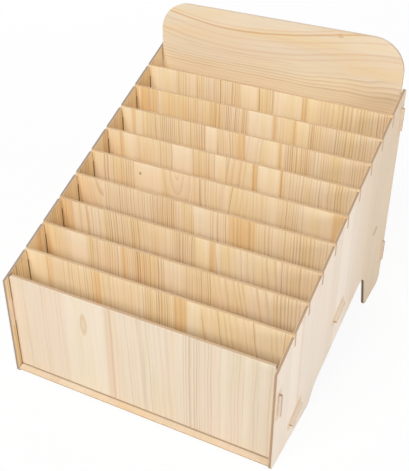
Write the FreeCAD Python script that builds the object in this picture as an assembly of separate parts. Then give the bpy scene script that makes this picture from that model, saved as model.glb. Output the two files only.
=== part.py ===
import FreeCAD, Part
import math
import os

# Free-standing mail sorter: a knock-down kit of thin boards, in millimetres.
# +X is to the right, +Y to the back and +Z up. The origin is on the table, midway
# between the two sides and midway along their depth.
# In the sizes below a depth is counted from the front edges of the sides.

# Case
BOARD = 3.0                  # thickness of every board
OUTER_WIDTH = 300.0          # over the outer faces of the two sides
SIDE_DEPTH = 338.5
SIDE_FRONT_HEIGHT = 122.5
RAKE = math.radians(22.1)    # slope of the sides' top edges and of the base board

# Feet and cut-out of a side
FRONT_FOOT = 96.0            # length of the front foot on the table
REAR_FOOT = 58.5             # length of the rear foot on the table
RAMP_RUN = 16.5              # short ramp that leads from the front foot into the cut-out
RAMP_RISE = 17.0
ROOF_SLOPE = math.radians(16.8)

# Front panel, back panel and base board
FRONT_INSET = 6.3            # front edge of the sides to the front panel
BACK_INSET = 6.5             # back panel to the back edge of the sides
FRONT_PANEL_TOP = 126.8
BACK_PANEL_BOTTOM = 20.0
BACK_PANEL_TOP = 313.0
BASE_TOE = 1.2               # depth of the base board's lower front arris
BASE_LIFT = 2.2              # height of that arris over the table

# Tenons
TENON = 26.5                 # length of a tenon along its board
FRONT_TENON_LOW = 67.0       # height of the front panel's tenons
BACK_TENONS_LOW = (37.5, 212.3)
BASE_TENONS_AT = (46.0, 169.3)
UPRIGHT_PROUD = 3.0          # how far tenons stand out of the sides
BASE_PROUD = 3.5

# Dividers
DIVIDERS = 9
EAR = 13.5                   # height of a divider's ears
TAB = 30.0                   # width of the tabs that stand in the base board
TAB_OFFSET = 80.0            # middle of a divider to the middle of its tabs

# Corner radii
FRONT_CORNER_ROUND = 3.0
FOOT_ROUND = 12.0
NOTCH_ROUND = 20.0
RAMP_ROUND = 20.0
SIDE_FRONT_TOP_ROUND = 1.0
SIDE_BACK_TOP_ROUND = 3.0
SLOT_ROUND = 1.5
EAR_ROUND = 2.0
FRONT_PANEL_ROUND = 3.5
BACK_PANEL_ROUND = 36.0

# Clearances
SHOULDER_GAP = 0.6           # end of a fixed board to the board beside it
MORTISE_GAP = 0.15           # tenon to mortise
DIVIDER_GAP = 0.9            # end of a divider to the side beside it
SLOT_GAP = 0.2               # divider to each wall of its slots
FLOOR_GAP = 0.4              # divider to the top of the base board

INNER_WIDTH = OUTER_WIDTH - 2 * BOARD
FRONT_FACE = FRONT_INSET
BACK_FACE = SIDE_DEPTH - BACK_INSET - BOARD
PITCH = (BACK_FACE - FRONT_FACE) / (DIVIDERS + 1)


def raked_edge(depth):
    """Height of the sides' raked top edge."""
    return SIDE_FRONT_HEIGHT + depth * math.tan(RAKE)


def base_underside(depth):
    return BASE_LIFT + (depth - BASE_TOE) * math.tan(RAKE)


def base_top(depth):
    return base_underside(depth) + BOARD / math.cos(RAKE)


def divider_depth(number):
    """Depth of a divider's front face."""
    return FRONT_FACE + PITCH * number


def divider_top(number):
    return raked_edge(divider_depth(number) + BOARD / 2)


def at(x, depth, z):
    return FreeCAD.Vector(x, depth - SIDE_DEPTH / 2, z)


def rounded_board(corners, place, direction):
    """Solid of board thickness along direction, from corners (u, v, radius) put in space by place."""
    stops = []
    for index, (u, v, radius) in enumerate(corners):
        here = FreeCAD.Vector(u, v, 0)
        before = FreeCAD.Vector(*corners[index - 1][:2], 0) - here
        after = FreeCAD.Vector(*corners[(index + 1) % len(corners)][:2], 0) - here
        before.normalize()
        after.normalize()
        half_angle = before.getAngle(after) / 2
        reach = radius / math.tan(half_angle)
        bisector = (before + after).normalize()
        middle = here + bisector * (radius / math.sin(half_angle) - radius)
        stops.append((here + before * reach, middle, here + after * reach, radius))
    edges = []
    for index, (start, middle, end, radius) in enumerate(stops):
        following = stops[(index + 1) % len(stops)][0]
        if radius > 0:
            points = [place(p.x, p.y) for p in (start, middle, end)]
            edges.append(Part.Arc(*points).toShape())
        edges.append(Part.LineSegment(place(end.x, end.y), place(following.x, following.y)).toShape())
    return Part.Face(Part.Wire(edges)).extrude(direction * BOARD)


def block(low, high):
    """Box between two corners given as (x, depth, z)."""
    size = [high[i] - low[i] for i in range(3)]
    return Part.makeBox(*size, at(*low))


def raked_block(x_low, x_high, along, length, below, above):
    """Box along the base board from its lower front arris, between two heights over its underside."""
    box = Part.makeBox(x_high - x_low, length, above - below, FreeCAD.Vector(x_low, along, below))
    box.rotate(FreeCAD.Vector(0, 0, 0), FreeCAD.Vector(1, 0, 0), math.degrees(RAKE))
    box.translate(at(0, BASE_TOE, BASE_LIFT))
    return box


def upright_tenons(depth, low):
    """Both tenons of an upright board, each running into the board past its shoulder gap."""
    reach = OUTER_WIDTH / 2 + UPRIGHT_PROUD
    root = INNER_WIDTH / 2 - SHOULDER_GAP
    right = block((root, depth, low), (reach, depth + BOARD, low + TENON))
    left = block((-reach, depth, low), (-root, depth + BOARD, low + TENON))
    return [left, right]


def upright_mortise(x_low, depth, low):
    near = (x_low, depth - MORTISE_GAP, low)
    far = (x_low + BOARD, depth + BOARD + MORTISE_GAP, low + TENON + MORTISE_GAP)
    return block(near, far)


def base_mortise(x_low, along):
    start = along - MORTISE_GAP
    length = TENON + 2 * MORTISE_GAP
    return raked_block(x_low, x_low + BOARD, start, length, 0, BOARD + MORTISE_GAP)


def side_panel(x_low):
    roof_start = FreeCAD.Vector(FRONT_FOOT + RAMP_RUN, RAMP_RISE, 0)
    rear_foot = FreeCAD.Vector(SIDE_DEPTH - REAR_FOOT, 0, 0)
    roof = FreeCAD.Vector(math.cos(ROOF_SLOPE), math.sin(ROOF_SLOPE), 0)
    # The rear foot's front edge stands square to the roof of the cut-out.
    notch = roof_start + roof * (rear_foot - roof_start).dot(roof)
    corners = [
        (0, 0, FRONT_CORNER_ROUND),
        (FRONT_FOOT, 0, FOOT_ROUND),
        (roof_start.x, roof_start.y, RAMP_ROUND),
        (notch.x, notch.y, NOTCH_ROUND),
        (rear_foot.x, 0, FOOT_ROUND),
        (SIDE_DEPTH, 0, FOOT_ROUND),
        (SIDE_DEPTH, raked_edge(SIDE_DEPTH), SIDE_BACK_TOP_ROUND),
    ]
    for number in range(DIVIDERS, 0, -1):
        slot_front = divider_depth(number) - SLOT_GAP
        slot_back = divider_depth(number) + BOARD + SLOT_GAP
        slot_bottom = divider_top(number) - EAR
        corners += [
            (slot_back, raked_edge(slot_back), 0),
            (slot_back, slot_bottom, 0),
            (slot_front, slot_bottom, 0),
            (slot_front, raked_edge(slot_front), SLOT_ROUND),
        ]
    corners.append((0, SIDE_FRONT_HEIGHT, SIDE_FRONT_TOP_ROUND))
    panel = rounded_board(corners, lambda depth, z: at(x_low, depth, z), FreeCAD.Vector(1, 0, 0))
    mortises = [upright_mortise(x_low, FRONT_FACE, FRONT_TENON_LOW)]
    mortises += [upright_mortise(x_low, BACK_FACE, low) for low in BACK_TENONS_LOW]
    mortises += [base_mortise(x_low, along) for along in BASE_TENONS_AT]
    return panel.cut(mortises)


def upright_panel(depth, corners):
    return rounded_board(corners, lambda x, z: at(x, depth, z), FreeCAD.Vector(0, 1, 0))


def front_panel():
    half = INNER_WIDTH / 2 - SHOULDER_GAP
    bottom = base_top(FRONT_FACE + BOARD)
    corners = [
        (-half, bottom, 0),
        (half, bottom, 0),
        (half, FRONT_PANEL_TOP, FRONT_PANEL_ROUND),
        (-half, FRONT_PANEL_TOP, FRONT_PANEL_ROUND),
    ]
    panel = upright_panel(FRONT_FACE, corners)
    return panel.fuse(upright_tenons(FRONT_FACE, FRONT_TENON_LOW)).removeSplitter()


def back_panel():
    half = INNER_WIDTH / 2 - SHOULDER_GAP
    corners = [
        (-half, BACK_PANEL_BOTTOM, 0),
        (half, BACK_PANEL_BOTTOM, 0),
        (half, BACK_PANEL_TOP, BACK_PANEL_ROUND),
        (-half, BACK_PANEL_TOP, BACK_PANEL_ROUND),
    ]
    panel = upright_panel(BACK_FACE, corners)
    tenons = []
    for low in BACK_TENONS_LOW:
        tenons += upright_tenons(BACK_FACE, low)
    return panel.fuse(tenons).removeSplitter()


def tab_slot(number, x_middle):
    """Slot through the base board that an upright tab drops into, cut square to the board."""
    front = divider_depth(number) - SLOT_GAP
    back = divider_depth(number) + BOARD + SLOT_GAP
    # An upright tab leans in the board, so its slot is longer than the tab is thick.
    start = (front - BASE_TOE) / math.cos(RAKE)
    end = (back - BASE_TOE) / math.cos(RAKE) + BOARD * math.tan(RAKE)
    half = TAB / 2 + SLOT_GAP
    return raked_block(x_middle - half, x_middle + half, start, end - start, 0, BOARD)


def base_board():
    half = INNER_WIDTH / 2 - SHOULDER_GAP
    length = (BACK_FACE - SHOULDER_GAP - BASE_TOE) / math.cos(RAKE)
    board = raked_block(-half, half, 0, length, 0, BOARD)
    reach = OUTER_WIDTH / 2 + BASE_PROUD
    tenons = [raked_block(-reach, reach, along, TENON, 0, BOARD) for along in BASE_TENONS_AT]
    slots = []
    for number in range(1, DIVIDERS + 1):
        slots += [tab_slot(number, x) for x in (-TAB_OFFSET, TAB_OFFSET)]
    return board.fuse(tenons).removeSplitter().cut(slots)


def divider(number):
    top = divider_top(number)
    back = divider_depth(number) + BOARD
    bottom = base_top(back) + FLOOR_GAP
    tab_end = base_underside(back)
    ear_end = OUTER_WIDTH / 2
    half = INNER_WIDTH / 2 - DIVIDER_GAP
    corners = []
    for middle in (-TAB_OFFSET, TAB_OFFSET):
        corners += [
            (middle - TAB / 2, bottom, 0),
            (middle - TAB / 2, tab_end, 0),
            (middle + TAB / 2, tab_end, 0),
            (middle + TAB / 2, bottom, 0),
        ]
    corners += [
        (half, bottom, 0),
        (half, top - EAR, 0),
        (ear_end, top - EAR, 0),
        (ear_end, top, EAR_ROUND),
        (-ear_end, top, EAR_ROUND),
        (-ear_end, top - EAR, 0),
        (-half, top - EAR, 0),
        (-half, bottom, 0),
    ]
    return upright_panel(divider_depth(number), corners)


boards = {
    "left_side_panel": side_panel(-OUTER_WIDTH / 2),
    "right_side_panel": side_panel(OUTER_WIDTH / 2 - BOARD),
    "front_panel": front_panel(),
    "base_board": base_board(),
    "back_panel": back_panel(),
}
for number in range(1, DIVIDERS + 1):
    boards[f"divider_{number}"] = divider(number)

os.makedirs("parts", exist_ok=True)
for name, shape in boards.items():
    shape.exportStep(f"parts/{name}.step")
    print(name, len(shape.Solids), "solid", round(shape.Volume), "mm3", "valid" if shape.isValid() else "INVALID")
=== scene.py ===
import math
import random
from collections import namedtuple

import bpy
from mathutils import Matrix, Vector

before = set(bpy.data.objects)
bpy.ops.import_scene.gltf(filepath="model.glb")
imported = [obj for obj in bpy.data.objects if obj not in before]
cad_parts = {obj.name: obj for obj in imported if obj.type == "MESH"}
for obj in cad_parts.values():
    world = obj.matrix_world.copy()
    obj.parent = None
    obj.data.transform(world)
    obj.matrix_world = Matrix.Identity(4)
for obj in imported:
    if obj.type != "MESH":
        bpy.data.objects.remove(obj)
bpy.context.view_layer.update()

MM = 0.001
X, Y, Z = (1, 0, 0), (0, 1, 0), (0, 0, 1)

BOARD = 3.0
OUTER_WIDTH = 300.0
SIDE_DEPTH = 338.5
RAKE = math.radians(22.1)
FRONT_FACE = 6.3
BACK_FACE = 329.0
BACK_PANEL_LOW = 20.0
BASE_TOE = 1.2
BASE_LIFT = 2.2
TENON = 26.5
FRONT_TENON_LOW = 67.0
BACK_TENONS_LOW = (37.5, 212.3)
BASE_TENONS_AT = (46.0, 169.3)
DIVIDERS = 9
PITCH = (BACK_FACE - FRONT_FACE) / (DIVIDERS + 1)

HALF = OUTER_WIDTH / 2
HALF_DEPTH = SIDE_DEPTH / 2
UP_BASE = (0, math.cos(RAKE), math.sin(RAKE))
OUT_OF_BASE = (0, -math.sin(RAKE), math.cos(RAKE))


def paint(red, green, blue):
    """A colour given as it looks on a screen, 0 to 255, made linear."""
    def linear(channel):
        share = channel / 255
        return share / 12.92 if share <= 0.04045 else ((share + 0.055) / 1.055) ** 2.4
    return (linear(red), linear(green), linear(blue), 1.0)


class Signal:
    """A value that varies over a surface. Python's operators on it add Math nodes."""

    def __init__(self, nodes, socket):
        self.nodes = nodes
        self.socket = socket

    def __add__(self, other):
        return self.nodes.math("ADD", self, other)

    def __radd__(self, other):
        return self.nodes.math("ADD", other, self)

    def __sub__(self, other):
        return self.nodes.math("SUBTRACT", self, other)

    def __rsub__(self, other):
        return self.nodes.math("SUBTRACT", other, self)

    def __mul__(self, other):
        return self.nodes.math("MULTIPLY", self, other)

    def __rmul__(self, other):
        return self.nodes.math("MULTIPLY", other, self)

    def __truediv__(self, other):
        return self.nodes.math("DIVIDE", self, other)

    def __pow__(self, other):
        return self.nodes.math("POWER", self, other)

    def __abs__(self):
        return self.nodes.math("ABSOLUTE", self)


class Nodes:
    """Adds nodes to one node tree."""

    def __init__(self, tree):
        self.tree = tree
        self.tree.nodes.clear()

    def node(self, kind, settings=None, inputs=None, output=0):
        """A node's output, after its settings are set and its sockets are filled or linked."""
        made = self.tree.nodes.new(kind)
        for key, value in (settings or {}).items():
            if key == "stops":
                self.fill_ramp(made.color_ramp, value)
            elif key == "interpolation":
                made.color_ramp.interpolation = value
            else:
                setattr(made, key, value)
        for key, value in (inputs or {}).items():
            if isinstance(value, Signal):
                self.tree.links.new(value.socket, made.inputs[key])
            else:
                made.inputs[key].default_value = value
        return Signal(self, made.outputs[output]) if made.outputs else None

    def fill_ramp(self, ramp, stops):
        while len(ramp.elements) < len(stops):
            ramp.elements.new(1.0)
        for element, (position, colour) in zip(ramp.elements, stops):
            element.position = position
            element.color = colour

    def math(self, operation, *values, clamp=False):
        settings = {"operation": operation, "use_clamp": clamp}
        return self.node("ShaderNodeMath", settings, dict(enumerate(values)))

    def between(self, value, low, high):
        """0 below low and 1 above high, or the reverse if low is the larger, with an eased step between."""
        return self.node("ShaderNodeMapRange", {"interpolation_type": "SMOOTHSTEP"},
                         {"Value": value, "From Min": low, "From Max": high})

    def fade(self, value, full, gone):
        """1 below full and 0 above gone, with an eased step between."""
        return 1.0 - self.between(value, full, gone)

    def dot(self, vector, direction):
        return self.node("ShaderNodeVectorMath", {"operation": "DOT_PRODUCT"},
                         {0: vector, 1: direction}, output="Value")

    def noise(self, x, y, z, detail=2.0):
        """Noise from -1 to 1, one lump per unit of x, y and z."""
        place = self.node("ShaderNodeCombineXYZ", None, {"X": x, "Y": y, "Z": z})
        inputs = {"Vector": place, "Scale": 1.0, "Detail": detail}
        return self.node("ShaderNodeTexNoise", None, inputs) * 2.0 - 1.0

    def random(self, value):
        return self.node("ShaderNodeTexWhiteNoise", {"noise_dimensions": "1D"}, {"W": value})

    def mix(self, factor, first, second):
        """A colour from first to second. The colour sockets of this node are its inputs 6 and 7."""
        return self.node("ShaderNodeMix", {"data_type": "RGBA", "clamp_factor": True},
                         {0: factor, 6: first, 7: second}, output=2)

    def steps(self, place, starts, columns):
        """Up to three signals, which keep a column's value from each start to the next."""
        lows = [min(column) for column in columns]
        spans = [max(max(column) - low, 1e-6) for column, low in zip(columns, lows)]
        stops = []
        for index, start in enumerate(starts):
            coded = [(column[index] - low) / span for column, low, span in zip(columns, lows, spans)]
            stops.append((start, [*coded, *[0.0] * (3 - len(coded)), 1.0]))
        ramp = self.node("ShaderNodeValToRGB", {"stops": stops, "interpolation": "CONSTANT"}, {"Fac": place})
        split = [self.node("ShaderNodeSeparateColor", None, {"Color": ramp}, output=index)
                 for index in range(len(columns))]
        return [signal * span + low for signal, span, low in zip(split, spans, lows)]


# How a board lies: unit vectors across its grain, along it and through its thickness, the place
# across the grain where its first strip starts, and the place of its middle through its thickness.
Lie = namedtuple("Lie", "across along through low middle")

# A strip of pine in a board's face, in millimetres: its width, where its log's heart lies from its
# left edge and under its face, how far apart its year rings are, how the heart dips and the lines
# lean along the strip, and its shade, its warmth and how strongly its rings show.
Strip = namedtuple("Strip", "width heart depth rings dip lean shade warmth strength")

# Marks on a face, in millimetres across and along its grain. A Line is one dark line, and a Mortise
# a slot turned by so many radians.
Knot = namedtuple("Knot", "across along half_width half_length strength")
Line = namedtuple("Line", "across half_width strength")
Mortise = namedtuple("Mortise", "across along half_length turn")

# How far the grain bows, from what place along it and over what reach, and where across it the bow
# starts and is full.
Sway = namedtuple("Sway", "bow along reach start full")

# A tone that the pale wood takes on, and where across the grain it starts and is full. The two shifts below
# are painted light, on the sides together with the wood's own tone.
Shift = namedtuple("Shift", "tone start full")

# What each cut of pine looks like: spacing of its rings, their strength, shade and warmth.
CUTS = {
    "dense": ((2.1, 2.7), (1.00, 1.25), (-0.4, 0.0), (0.1, 0.5)),
    "fine": ((2.7, 3.6), (0.80, 1.10), (-0.2, 0.3), (0.0, 0.4)),
    "wide": ((5.0, 7.0), (0.85, 1.15), (0.0, 0.4), (0.0, 0.4)),
    "soft": ((4.0, 5.5), (0.35, 0.55), (0.0, 0.4), (0.1, 0.5)),
    "plain": ((6.0, 8.0), (0.05, 0.20), (0.7, 1.3), (-0.5, -0.1)),
    "amber": ((3.0, 5.0), (0.50, 0.90), (-0.6, -0.2), (1.2, 2.0)),
    "resin": ((5.0, 7.0), (0.60, 0.80), (-1.8, -1.2), (2.2, 2.8)),
    "figure": ((5.0, 6.0), (0.70, 0.90), (0.2, 0.5), (0.0, 0.3)),
    "arm": ((5.0, 6.0), (0.80, 1.00), (0.0, 0.3), (0.6, 0.9)),
}

# The log's heart lies below the middle of a figure or below the right edge of an arm, and dips away,
# which draws arches. In other cuts it lies far to one side, which draws straight lines.
ARCH_DEPTH = 58.0
ARCH_DIP = -0.3
HEART_ASIDE = (140, 240)
HEART_DEPTH = (10, 60)


def saw(cuts, seed):
    """Strips side by side from cuts of (kind, width) or (kind, width, lean), drawn within their kind."""
    draw = random.Random(seed)
    strips = []
    for kind, width, *leans in cuts:
        rings, strength, shade, warmth = [draw.uniform(*limits) for limits in CUTS[kind]]
        if kind in ("figure", "arm"):
            heart, depth, dip = width / (2 if kind == "figure" else 1), ARCH_DEPTH, ARCH_DIP
        else:
            heart = draw.choice((-1, 1)) * draw.uniform(*HEART_ASIDE)
            depth, dip = draw.uniform(*HEART_DEPTH), 0.0
        lean = leans[0] if leans else 0.0
        strips.append(Strip(width, heart, depth, rings, dip, lean, shade, warmth, strength))
    return strips


# Where the pine varies: how many lumps to a millimetre across and along the grain, how far the
# pattern lies from the board's seed, and how fine its detail is.
LUMPS = {
    "wander": (0.008, 0.010, 0.0, 2.0),
    "waver": (0.05, 0.030, 7.3, 2.0),
    "bands": (0.10, 0.006, 6.4, 2.0),
    "streaks": (0.60, 0.010, 4.1, 3.0),
    "fibres": (3.5, 0.06, 5.9, 2.0),
    "clouds": (0.02, 0.010, 8.2, 2.0),
    "golden": (0.07, 0.008, 9.6, 2.0),
    "patches": (0.04, 0.04, 3.3, 2.0),
}

# How far the pine's lines wander and waver and a log's heart wobbles, in millimetres, and how far a
# year ring drifts, in years.
WANDER = 3.0
WAVER = 0.7
HEART_WOBBLE = 1.5
YEAR_DRIFT = 1.4

# What tells the faces, cut edges and ends of a board apart: how much of a normal points through the
# board at a cut edge and at a face, and how much points along X beside an end and at one.
CUT_EDGE = (0.35, 0.75)
FACING_ALONG_X = (0.3, 0.8)

# Above what noise the wood starts to be golden and is fully so.
GOLDEN_SHARE = (-0.3, 0.5)

# Reaches in millimetres, each from where a mark starts to where it is full, or from where it is full
# to where it is gone. A knot's are in its own radii, and late wood's are in shares of a year.
STRIP_BLEND = (-1.0, 3.0)
LATE_WOOD_END = (0.84, 1.0)
KNOT_SWERVE = (0.5, 2.6)
KNOT_RIM_INSIDE = (0.3, 0.9)
KNOT_RIM_OUTSIDE = (0.9, 1.3)
KNOT_CORE = (0.6, 1.1)
SCORCH_REACH = (3.0, 7.0)
SMOKE_REACH = (0.0, 15.0)
MORTISE_LINE_REACH = (0.2, 1.4)
# The divider reach is where painted shade lies beside the dividers' ends.
DIVIDER_SHADE_REACH = (1.4, 2.6)

# Places in millimetres: from the front of a board that stands on this one, where painted shade lies in the
# joint, from a side's outer face and from the board's own face.
CONTACT_SHADE_STARTS, CONTACT_SHADE_FULL, CONTACT_SHADE_ENDS = -1.3, -0.2, 1.0
TIP_STARTS, TIP_FULL = -0.5, 0.3
SKIN_STARTS, SKIN_FULL = -0.45, -0.3

# How far a shift of tone follows the clouds, how far soot reaches from an edge, and how deep the
# relief of the grain is, in millimetres.
SHIFT_WAVE = 18.0
SOOT_RADIUS = 0.9
RELIEF_DEPTH = 0.1

# How strongly each of these shows or acts, as a share of 1.
LINE_WANDER = 0.5
KNOT_PULL = 0.5
CORE_STRENGTH = 0.9
WARM_EVERYWHERE, WARM_STRIP, WARM_CLOUD, WARM_BAND = 0.12, 0.52, 0.3, 0.4
STREAK_STRENGTH = 0.16
SCORCH_STRENGTH = 0.65
SMOKE_STRENGTH = 0.15
MORTISE_LINE_STRENGTH = 0.14
DIVIDER_SHADE_STRENGTH = 0.75
CONTACT_SHADE_STRENGTH = 0.6
TIP_TONE_AND_LIGHT_STRENGTH = 0.85
TIP_CORE_DARKENING = 0.3
SKIN_STRENGTH = 0.5
END_TONE_AND_LIGHT_STRENGTH = 0.8
SOOT_STRENGTH = 0.3


class PineBoard:
    """The finish of one thin pine-faced board, drawn in millimetres across, along and through it."""

    def __init__(self, name, lie, tones, seed):
        self.material = bpy.data.materials.new(name)
        self.material.use_nodes = True
        self.nodes = Nodes(self.material.node_tree)
        self.lie = lie
        self.tones = tones
        self.seed = seed
        self.place = self.nodes.node("ShaderNodeTexCoord", output="Object")
        self.normal = self.nodes.node("ShaderNodeTexCoord", output="Normal")
        self.across = self.distance(lie.across)
        self.along = self.distance(lie.along)
        self.layer = self.distance(lie.through) - lie.middle
        self.cut = self.nodes.fade(abs(self.nodes.dot(self.normal, lie.through)), *CUT_EDGE)
        self.bands = self.lumps("bands")
        self.streaks = self.lumps("streaks")
        self.fibres = self.lumps("fibres")
        self.clouds = self.lumps("clouds")
        self.patches = self.lumps("patches")
        self.wander = self.lumps("wander") * WANDER + self.lumps("waver") * WAVER
        self.burn = self.nodes.noise(self.across * 1.4, self.along * 1.4, self.layer * 0.3 + seed, detail=3.0)
        self.swerved = self.across
        self.knotted = 0.0
        self.tips = None

    def distance(self, direction):
        return self.nodes.dot(self.place, direction) / MM

    def lumps(self, kind):
        across_rate, along_rate, offset, detail = LUMPS[kind]
        x, y = self.across * across_rate, self.along * along_rate
        return self.nodes.noise(x, y, self.seed + offset, detail)

    def coat(self, amount, tone):
        """Lays a tone over the face."""
        self.face = self.nodes.mix(amount, self.face, tone)

    def swerve(self, knots, sway):
        """Leads the grain round each knot, and bows it where the tree did."""
        nodes = self.nodes
        for knot in knots:
            aside = self.across - knot.across
            lengthwise = (self.along - knot.along) / knot.half_length
            radii = ((aside / knot.half_width) ** 2.0 + lengthwise ** 2.0) ** 0.5
            self.swerved = self.swerved - aside * nodes.fade(radii, *KNOT_SWERVE) * KNOT_PULL
            rim = nodes.between(radii, *KNOT_RIM_INSIDE) * nodes.fade(radii, *KNOT_RIM_OUTSIDE)
            core = nodes.fade(radii, *KNOT_CORE) * CORE_STRENGTH
            self.knotted = nodes.math("MAXIMUM", self.knotted, (rim + core) * knot.strength)
        if sway:
            lengthwise = nodes.between(abs(self.along - sway.along), 0.0, sway.reach)
            sideways = nodes.between(self.across, sway.start, sway.full)
            self.swerved = self.swerved - lengthwise * sway.bow * sideways

    def grow(self, strips):
        """Year rings, where the board's face cuts through each strip's log."""
        nodes = self.nodes
        span = sum(strip.width for strip in strips)
        starts = [0.0]
        for strip in strips[:-1]:
            starts.append(starts[-1] + strip.width / span)
        lefts = [self.lie.low + start * span for start in starts]
        rights = [left + strip.width for left, strip in zip(lefts, strips)]
        hearts = [left + strip.heart for left, strip in zip(lefts, strips)]
        columns = Strip(*zip(*strips))
        place = (self.across - self.lie.low) / span
        left, right = nodes.steps(place, starts, [lefts, rights])
        heart, depth, rings = nodes.steps(place, starts, [hearts, columns.depth, columns.rings])
        dip, lean, strength = nodes.steps(place, starts, [columns.dip, columns.lean, columns.strength])
        numbers = range(len(strips))
        shade, warmth, number = nodes.steps(place, starts, [columns.shade, columns.warmth, numbers])
        blended = nodes.between(nodes.math("MINIMUM", self.across - left, right - self.across), *STRIP_BLEND)
        self.shade = shade * blended
        self.warmth = warmth * blended

        aside = self.swerved + self.wander + lean * self.along - heart
        below = depth + self.along * dip
        below = below + nodes.noise(self.along * 0.012, number * 3.1, self.seed + 1.7) * HEART_WOBBLE
        radius = (aside * aside + below * below) ** 0.5
        years = radius / rings + nodes.noise(radius * 0.07, number * 5.3, self.seed + 2.9) * YEAR_DRIFT
        year = nodes.math("FLOOR", years)
        season = years - year
        bold = nodes.random(year + number * 17.0 + self.seed * 3.0) + 0.3
        patchy = nodes.noise(year * 7.1, self.along * 0.012, number + self.seed) * 0.4 + 0.8
        darkening = season ** (rings * 0.75) * nodes.fade(season, *LATE_WOOD_END)
        self.late = darkening * bold * strength * patchy

    def lay_face(self, shift, inner):
        """Pale and golden wood, warmer in places, with its dark late wood."""
        nodes, mix = self.nodes, self.nodes.mix
        light, golden, line, warm = [self.tones[key] for key in ("light", "golden", "line", "warm")]
        contrast = self.tones["contrast"]
        if shift:
            shifted = nodes.between(self.across + self.clouds * SHIFT_WAVE, shift.start, shift.full)
            light = mix(shifted, light, shift.tone)
            golden = mix(shifted, golden, shift.tone)
        if inner:
            inner_tones, inner_side = inner
            self.inside = nodes.math("GREATER_THAN", self.layer * inner_side, 0.0)
            light = mix(self.inside, light, inner_tones["light"])
            golden = mix(self.inside, golden, inner_tones["golden"])
            line = mix(self.inside, line, inner_tones["line"])
            warm = mix(self.inside, warm, inner_tones["warm"])
            contrast = self.inside * (inner_tones["contrast"] - contrast) + contrast
        uneven = self.clouds * WARM_CLOUD + self.bands * WARM_BAND
        tint = nodes.math("ADD", self.warmth * WARM_STRIP + WARM_EVERYWHERE, uneven, clamp=True)
        dark = nodes.math("ADD", self.late * contrast, self.streaks * STREAK_STRENGTH * contrast, clamp=True)
        self.face = mix(nodes.between(self.lumps("golden"), *GOLDEN_SHARE), light, golden)
        self.coat(tint, warm)
        self.coat(dark, line)

    def draw_line(self, line):
        away = abs(self.swerved + self.wander * LINE_WANDER - line.across)
        self.coat(self.nodes.fade(away, 0.0, line.half_width) * line.strength, self.tones["amber"])

    def scorch(self, mortise):
        """Browned skin round a mortise, and a thin dark line at its edge."""
        nodes = self.nodes
        x = self.across - mortise.across
        y = self.along - mortise.along
        cosine, sine = math.cos(mortise.turn), math.sin(mortise.turn)
        lengthwise = nodes.math("MAXIMUM", abs(x * cosine + y * sine) - mortise.half_length, 0.0)
        sideways = nodes.math("MAXIMUM", abs(y * cosine - x * sine) - BOARD / 2, 0.0)
        away = (lengthwise * lengthwise + sideways * sideways) ** 0.5 + self.clouds
        scorched = nodes.fade(away, *SCORCH_REACH) * SCORCH_STRENGTH
        self.coat(scorched + nodes.fade(away, *SMOKE_REACH) * SMOKE_STRENGTH, self.tones["scorch"])
        shade_and_dark_marks = nodes.fade(away, *MORTISE_LINE_REACH) * MORTISE_LINE_STRENGTH
        self.coat(shade_and_dark_marks, self.tones["shade_and_dark_marks"])

    def paint_shade_at_dividers(self):
        """Painted shade on a side's inner face, in the narrow gaps where the dividers' ends come close."""
        count = (self.across + HALF_DEPTH - FRONT_FACE - BOARD / 2) / PITCH
        away = abs(count - self.nodes.math("ROUND", count)) * PITCH
        shade_and_dark_marks = self.nodes.fade(away, *DIVIDER_SHADE_REACH) * self.inside * DIVIDER_SHADE_STRENGTH
        self.coat(shade_and_dark_marks, self.tones["shade_and_dark_marks"])

    def paint_shade_at_front(self, contact):
        """Painted shade in front of a board that stands on this one, with its front at contact along Y."""
        depth = self.distance(Y)
        rising = self.nodes.between(depth, contact + CONTACT_SHADE_STARTS, contact + CONTACT_SHADE_FULL)
        ending = self.nodes.fade(depth, contact, contact + CONTACT_SHADE_ENDS)
        self.coat(rising * ending * CONTACT_SHADE_STRENGTH, self.tones["shade_and_dark_marks"])

    def paint_light_on_tips(self):
        """The tenons' tips, outside the sides, have a tone of their own, painted lighter on the base and
        back panel to make up for the shade of the side panels.
        """
        self.tips = self.nodes.between(abs(self.distance(X)), HALF + TIP_STARTS, HALF + TIP_FULL)
        self.coat(self.tips * TIP_TONE_AND_LIGHT_STRENGTH, self.tones["tip_and_painted_light"])

    def vary_brightness(self):
        """Slightly lighter and darker strips, clouds, bands, fibres and streaks."""
        brightness = 1.0 + self.shade * 0.03 + self.clouds * 0.02 + self.bands * 0.02
        brightness = brightness + self.fibres * 0.015 - self.streaks * 0.03
        self.face = self.nodes.node("ShaderNodeVectorMath", {"operation": "SCALE"},
                                    {0: self.face, "Scale": brightness})

    def brown_edges(self):
        """A browned core between two pine skins, and soot that fades onto the faces."""
        nodes, mix, tones = self.nodes, self.nodes.mix, self.tones
        core = mix(self.burn * 0.35 + self.patches * 0.35 + 0.4, tones["edge"], tones["edge_dark"])
        skin = nodes.between(abs(self.layer), BOARD / 2 + SKIN_STARTS, BOARD / 2 + SKIN_FULL)
        core = mix(skin * SKIN_STRENGTH, core, tones["light"])
        if self.tips is not None:
            core = mix(self.tips * TIP_CORE_DARKENING, core, tones["shade_and_dark_marks"])
        # Faces looking along X take the ends' tone: painted shade on the dividers' ends, which the fill lamp
        # lights strongly, and painted light on the base's ends, which the side panels shade.
        if self.lie.through != X:
            endwise = nodes.between(abs(nodes.dot(self.normal, X)), *FACING_ALONG_X)
            core = mix(endwise * END_TONE_AND_LIGHT_STRENGTH, core, tones["end"])

        rounded = nodes.node("ShaderNodeBevel", {"samples": 6}, {"Radius": SOOT_RADIUS * MM})
        turned = 1.0 - nodes.dot(rounded, nodes.node("ShaderNodeNewGeometry", output="True Normal"))
        soot = nodes.between(turned, 0.0, 0.3) * (self.patches * 0.5 + 0.5)
        self.coat(soot * SOOT_STRENGTH, tones["edge_dark"])
        self.coat(self.cut, core)

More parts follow.
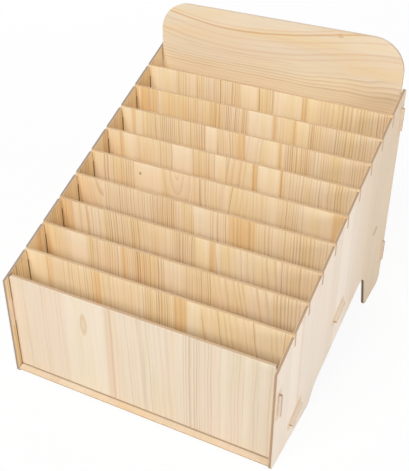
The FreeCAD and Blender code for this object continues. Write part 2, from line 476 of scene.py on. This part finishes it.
    def finish(self):
        """The shader, with fine relief in the grain and rougher cut edges."""
        nodes = self.nodes
        relief = self.fibres * 0.15 + self.streaks * 0.15 - self.late * 0.35 + self.cut * self.burn * 0.6
        bump = nodes.node("ShaderNodeBump", None,
                          {"Strength": 0.25, "Distance": RELIEF_DEPTH * MM, "Height": relief})
        rough = 0.5 + self.streaks * 0.04 + self.late * 0.05 + self.cut * 0.25
        shader = nodes.node("ShaderNodeBsdfPrincipled", None, {
            "Base Color": self.face, "Roughness": rough, "Normal": bump, "Specular IOR Level": 0.3})
        nodes.node("ShaderNodeOutputMaterial", None, {"Surface": shader})
        return self.material


def pine(name, lie, strips, tones, seed, sway=None, knots=(), lines=(), inner=None, shift=None, mortises=(),
         contact=None, tenoned=False):
    """Material of one pine-faced board.

    inner is (tones, side) of its face inside the case, where the dividers meet it, with side +1 or -1 for
    which way that face looks. contact is where the front of a board stands on this one, along Y.
    tenoned says that it has tenons, whose tips are outside the sides.
    """
    board = PineBoard(name, lie, tones, seed)
    board.swerve(knots, sway)
    board.grow(strips)
    board.lay_face(shift, inner)
    for line in lines:
        board.draw_line(line)
    if knots:
        board.coat(board.knotted, tones["knot"])
    for mortise in mortises:
        board.scorch(mortise)
    if inner:
        board.paint_shade_at_dividers()
    if contact is not None:
        board.paint_shade_at_front(contact)
    if tenoned:
        board.paint_light_on_tips()
    board.vary_brightness()
    board.brown_edges()
    return board.finish()


# The colours of a board: its wood, dark rings, warm and amber places and knots, what fire leaves on it,
# a dark brown for painted shade and dark lines, its tenons' tips and its ends, both partly painted light,
# its cut edges, and how strongly its rings show.
PALE = {
    "light": paint(232, 216, 194), "golden": paint(228, 212, 183), "warm": paint(231, 203, 175),
    "line": paint(190, 158, 124), "amber": paint(214, 175, 138), "knot": paint(210, 177, 136),
    "scorch": paint(227, 201, 173), "shade_and_dark_marks": paint(112, 86, 58), "tip_and_painted_light": paint(230, 216, 200),
    "end": paint(190, 170, 150), "edge": paint(222, 192, 157), "edge_dark": paint(194, 156, 120),
    "contrast": 0.95,
}
SIDE = {
    **PALE,
    "light": paint(244, 230, 215), "golden": paint(242, 228, 211), "warm": paint(241, 220, 199),
    "knot": paint(196, 170, 138), "edge": paint(187, 157, 125), "edge_dark": paint(166, 133, 102),
    "contrast": 0.2,
}
LEFT_SIDE = {**SIDE, "edge": paint(170, 152, 134), "edge_dark": paint(152, 130, 110)}
INNER = {
    "light": paint(224, 197, 155), "golden": paint(222, 191, 140), "warm": paint(220, 180, 127),
    "line": paint(166, 120, 70), "contrast": 1.3,
}
TAN = {
    "light": paint(243, 223, 192), "golden": paint(239, 216, 168), "warm": paint(235, 198, 144),
    "line": paint(179, 118, 48), "knot": paint(160, 110, 64), "shade_and_dark_marks": paint(112, 86, 58),
    "end": paint(192, 165, 132), "edge": paint(232, 200, 158), "edge_dark": paint(203, 164, 121),
    "contrast": 0.9,
}
# The first divider's wood, painted lighter than the others' to make up for the shade that the front panel
# casts on it.
FIRST_PAINTED_LIGHTER = {
    **TAN,
    "light": paint(247, 228, 196), "golden": paint(244, 221, 174), "warm": paint(241, 204, 150),
}
BACK = {
    **TAN,
    "light": paint(226, 209, 184), "golden": paint(226, 204, 165), "warm": paint(231, 198, 154),
    "line": paint(184, 140, 92), "amber": paint(206, 158, 110), "knot": paint(196, 152, 112),
    "tip_and_painted_light": paint(240, 224, 204), "edge": paint(232, 214, 192), "edge_dark": paint(214, 192, 166),
    "contrast": 0.7,
}
BASE = {
    **TAN,
    "light": paint(221, 201, 176), "golden": paint(219, 197, 166), "warm": paint(219, 188, 148),
    "tip_and_painted_light": paint(250, 236, 218), "end": paint(218, 200, 182), "contrast": 0.3,
}
# Painted light on the sides' outer faces: from the middle back they turn darker and warmer, partly the wood's
# own tone and partly painted light falling off towards the rear.
SIDE_PAINTED_FALLOFF_AND_TONE = Shift(paint(228, 207, 180), 5, 95)
# Painted light on the back panel: its wood is paler below 236 mm than above 268 mm, which makes up for the
# shade deep in the case.
BACK_PAINTED_LIGHT_BELOW = Shift(paint(240, 220, 186), 268, 236)

FRONT_CUTS = [
    ("amber", 5), ("soft", 63), ("plain", 47), ("amber", 9), ("soft", 10), ("wide", 66, 0.04),
    ("fine", 33), ("soft", 9), ("plain", 7), ("soft", 8), ("wide", 8), ("plain", 8), ("wide", 8),
    ("plain", 8), ("soft", 11),
]
FRONT_KNOT = Knot(-59.5, 95, 3.8, 13.0, 0.42)
FRONT_LINE = Line(-27.5, 1.6, 0.6)
BACK_CUTS = [("soft", 100), ("fine", 145), ("soft", 28), ("plain", 20)]
BACK_LINES = [
    Line(292.5, 1.7, 0.75), Line(296.5, 1.4, 0.3), Line(284, 1.6, 0.25), Line(271, 1.8, 0.35),
    Line(266, 1.4, 0.3),
]
BACK_KNOT = Knot(307, 74, 1.6, 2.6, 0.4)
BACK_SWAY = Sway(24, -50, 200, 235, 292)
SIDE_CUTS = [
    ("fine", 34), ("plain", 22), ("amber", 9), ("fine", 38), ("soft", 30), ("dense", 26), ("plain", 30),
    ("fine", 36), ("amber", 8), ("soft", 34), ("fine", 40), ("plain", 33),
]
RIGHT_KNOT = Knot(117, 105, 8.0, 4.5, 0.5)
BASE_CUTS = [("fine", 60), ("plain", 40), ("soft", 80), ("fine", 60), ("soft", 70)]
BASE_CUTS_OUTSIDE = 5.0         # how far outside the left side the base's first strip starts

# The visible face of every divider, from its left end: each is cut from the same kind of glued
# sheet, with fine straight grain, plain strips, amber heartwood and wide slanting grain.
DIVIDER_CUTS = {
    1: [("plain", 26), ("amber", 6), ("soft", 20), ("fine", 31), ("amber", 10), ("soft", 47), ("dense", 35),
        ("resin", 15), ("plain", 15), ("wide", 82, 0.13), ("fine", 13)],
    2: [("amber", 11), ("soft", 24), ("plain", 21), ("fine", 41), ("amber", 7), ("dense", 44), ("soft", 17),
        ("dense", 35), ("wide", 61, 0.13), ("fine", 39)],
    3: [("amber", 19), ("soft", 12), ("wide", 26), ("dense", 50), ("soft", 28), ("dense", 31), ("plain", 14),
        ("amber", 8), ("wide", 68, 0.06), ("fine", 44)],
    4: [("arm", 36), ("fine", 61), ("dense", 28), ("fine", 21), ("plain", 19), ("fine", 20), ("amber", 32),
        ("fine", 83)],
    5: [("soft", 15), ("fine", 41), ("plain", 35), ("figure", 37), ("amber", 5), ("fine", 24),
        ("wide", 36, -0.13), ("soft", 30), ("fine", 31), ("plain", 30), ("amber", 16)],
    6: [("soft", 18), ("amber", 6), ("plain", 16), ("soft", 29), ("fine", 17), ("plain", 23), ("fine", 30),
        ("plain", 12), ("wide", 30, -0.13), ("amber", 8), ("plain", 24), ("amber", 5), ("fine", 82)],
    7: [("plain", 16), ("amber", 4), ("plain", 9), ("soft", 11), ("dense", 35), ("fine", 36), ("plain", 14),
        ("fine", 23), ("amber", 12), ("wide", 21, -0.13), ("plain", 16), ("amber", 6), ("dense", 34),
        ("fine", 63)],
    8: [("amber", 8), ("resin", 14), ("amber", 11), ("soft", 24), ("fine", 40), ("dense", 50), ("plain", 28),
        ("amber", 9), ("soft", 16), ("amber", 5), ("plain", 14), ("dense", 42), ("fine", 39)],
    9: [("soft", 10), ("plain", 28), ("fine", 14), ("soft", 14), ("dense", 56), ("plain", 21), ("fine", 10),
        ("amber", 5), ("fine", 7), ("plain", 31), ("amber", 9), ("plain", 10), ("wide", 49), ("fine", 36)],
}
DIVIDER_KNOTS = {5: [Knot(-86, 178, 1.2, 1.6, 0.6)]}


def side_mortises():
    """The front tenon's mortise, the two of the back panel and the two sloping ones of the base."""
    places = [(FRONT_FACE + BOARD / 2 - HALF_DEPTH, FRONT_TENON_LOW + TENON / 2, math.pi / 2)]
    places += [(BACK_FACE + BOARD / 2 - HALF_DEPTH, low + TENON / 2, math.pi / 2) for low in BACK_TENONS_LOW]
    for start in BASE_TENONS_AT:
        middle = start + TENON / 2
        depth = BASE_TOE + middle * math.cos(RAKE) - BOARD / 2 * math.sin(RAKE)
        height = BASE_LIFT + middle * math.sin(RAKE) + BOARD / 2 * math.cos(RAKE)
        places.append((depth - HALF_DEPTH, height, RAKE))
    return [Mortise(across, along, TENON / 2, turn) for across, along, turn in places]


def upright(depth):
    """A board that stands across the case with vertical grain, its front face at that depth."""
    return Lie(X, Z, Y, -HALF, depth + BOARD / 2 - HALF_DEPTH)


def front_pine():
    return pine("front_pine", upright(FRONT_FACE), saw(FRONT_CUTS, seed=3), PALE, seed=3, knots=[FRONT_KNOT],
                lines=[FRONT_LINE], tenoned=True)


def back_pine():
    lie = Lie(Z, X, Y, BACK_PANEL_LOW, BACK_FACE + BOARD / 2 - HALF_DEPTH)
    return pine("back_pine", lie, saw(BACK_CUTS, seed=12), BACK, seed=11, sway=BACK_SWAY, shift=BACK_PAINTED_LIGHT_BELOW,
                knots=[BACK_KNOT], lines=BACK_LINES, tenoned=True)


def base_pine():
    underside = (BASE_TOE - HALF_DEPTH) * OUT_OF_BASE[1] + BASE_LIFT * OUT_OF_BASE[2]
    lie = Lie(X, UP_BASE, OUT_OF_BASE, -HALF - BASE_CUTS_OUTSIDE, underside + BOARD / 2)
    return pine("base_pine", lie, saw(BASE_CUTS, seed=19), BASE, seed=19, contact=FRONT_FACE - HALF_DEPTH,
                tenoned=True)


def side_pine(name, hand, tones, seed, knots=()):
    """hand is 1 for the right side and -1 for the left one. The inner face looks the other way."""
    lie = Lie(Y, Z, X, -HALF_DEPTH, hand * (HALF - BOARD / 2))
    return pine(name, lie, saw(SIDE_CUTS, seed), tones, seed, inner=(INNER, -hand), shift=SIDE_PAINTED_FALLOFF_AND_TONE, knots=knots,
                mortises=side_mortises())


def divider_pine(number):
    tones = FIRST_PAINTED_LIGHTER if number == 1 else TAN
    return pine(f"divider_{number}_pine", upright(FRONT_FACE + PITCH * number),
                saw(DIVIDER_CUTS[number], seed=40 + number), tones, seed=31 + 4 * number,
                knots=DIVIDER_KNOTS.get(number, ()))


finishes = {
    "front_panel": front_pine(),
    "back_panel": back_pine(),
    "base_board": base_pine(),
    "left_side_panel": side_pine("left_side_pine", -1, LEFT_SIDE, seed=23),
    "right_side_panel": side_pine("right_side_pine", 1, SIDE, seed=29, knots=[RIGHT_KNOT]),
    **{f"divider_{number}": divider_pine(number) for number in DIVIDER_CUTS},
}
for node_name, material in finishes.items():
    board_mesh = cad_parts[node_name].data
    board_mesh.materials.clear()
    board_mesh.materials.append(material)


# The studio, in metres, but the camera's turn in degrees and its lens and sensor in millimetres.
WHITE = (1, 1, 1, 1)
FLOOR_SIZE = 12.0
FLOOR_GREY = (0.6, 0.6, 0.6, 1)
FLOOR_SEEN = (0.88, 0.88, 0.88, 1)
FLOOR_GLOW = 0.93
WORLD_LIGHT = 0.32
LAMP_TARGET = (0, 0, 0.12)
CAMERA_PLACE = (0.33496, -0.67504, 0.63413)
CAMERA_TURN = (55.8047, -0.2051, 27.0764)
CAMERA_LENS = 63.94
CAMERA_SENSOR = 36.0


def paper_floor():
    """Pale floor that reads as a white backdrop to the camera and still takes the soft shadow."""
    bpy.ops.object.select_all(action="DESELECT")
    bpy.ops.mesh.primitive_plane_add(size=FLOOR_SIZE, location=(0, 0, 0))
    floor = bpy.context.object
    floor.name = "floor"
    material = bpy.data.materials.new("floor_paper")
    material.use_nodes = True
    nodes = Nodes(material.node_tree)
    seen = nodes.node("ShaderNodeLightPath", output="Is Camera Ray")
    paper = nodes.node("ShaderNodeBsdfDiffuse", None, {"Color": nodes.mix(seen, FLOOR_GREY, FLOOR_SEEN)})
    glow = nodes.node("ShaderNodeEmission", None, {"Color": WHITE, "Strength": 1.0})
    surface = nodes.node("ShaderNodeMixShader", None, {0: seen * FLOOR_GLOW, 1: paper, 2: glow})
    nodes.node("ShaderNodeOutputMaterial", None, {"Surface": surface})
    floor.data.materials.append(material)


def studio_world():
    """Soft light from all round, which the camera sees as white."""
    world = bpy.data.worlds.new("studio")
    bpy.context.scene.world = world
    world.use_nodes = True
    nodes = Nodes(world.node_tree)
    seen = nodes.node("ShaderNodeLightPath", output="Is Camera Ray")
    light = nodes.node("ShaderNodeBackground", None, {"Color": WHITE, "Strength": WORLD_LIGHT})
    backdrop = nodes.node("ShaderNodeBackground", None, {"Color": WHITE, "Strength": 1.0})
    choice = nodes.node("ShaderNodeMixShader", None, {0: seen, 1: light, 2: backdrop})
    nodes.node("ShaderNodeOutputWorld", None, {"Surface": choice})


def soft_lamp(name, azimuth, elevation, distance, size, power):
    """Round lamp that points at the sorter. Azimuth is counted from the front towards the right."""
    turn, tilt = math.radians(azimuth), math.radians(elevation)
    offset = Vector((math.sin(turn) * math.cos(tilt), -math.cos(turn) * math.cos(tilt), math.sin(tilt)))
    light = bpy.data.lights.new(name, "AREA")
    light.shape = "DISK"
    light.size = size
    light.energy = power
    lamp = bpy.data.objects.new(name, light)
    bpy.context.scene.collection.objects.link(lamp)
    lamp.location = Vector(LAMP_TARGET) + offset * distance
    lamp.rotation_euler = offset.to_track_quat("Z", "Y").to_euler()


def photo_camera():
    """Camera at the photograph's viewing angle."""
    camera = bpy.data.objects.new("camera", bpy.data.cameras.new("camera"))
    bpy.context.scene.collection.objects.link(camera)
    camera.location = CAMERA_PLACE
    camera.rotation_euler = [math.radians(angle) for angle in CAMERA_TURN]
    camera.data.sensor_width = CAMERA_SENSOR
    camera.data.lens = CAMERA_LENS
    bpy.context.scene.camera = camera


paper_floor()
studio_world()
soft_lamp("key_lamp", azimuth=-10, elevation=42, distance=4.0, size=2.4, power=122)
soft_lamp("fill_lamp", azimuth=78, elevation=12, distance=3.0, size=1.2, power=45)
soft_lamp("rear_lamp", azimuth=-140, elevation=8, distance=3.0, size=1.0, power=55)
photo_camera()
bpy.context.scene.view_settings.view_transform = "Standard"
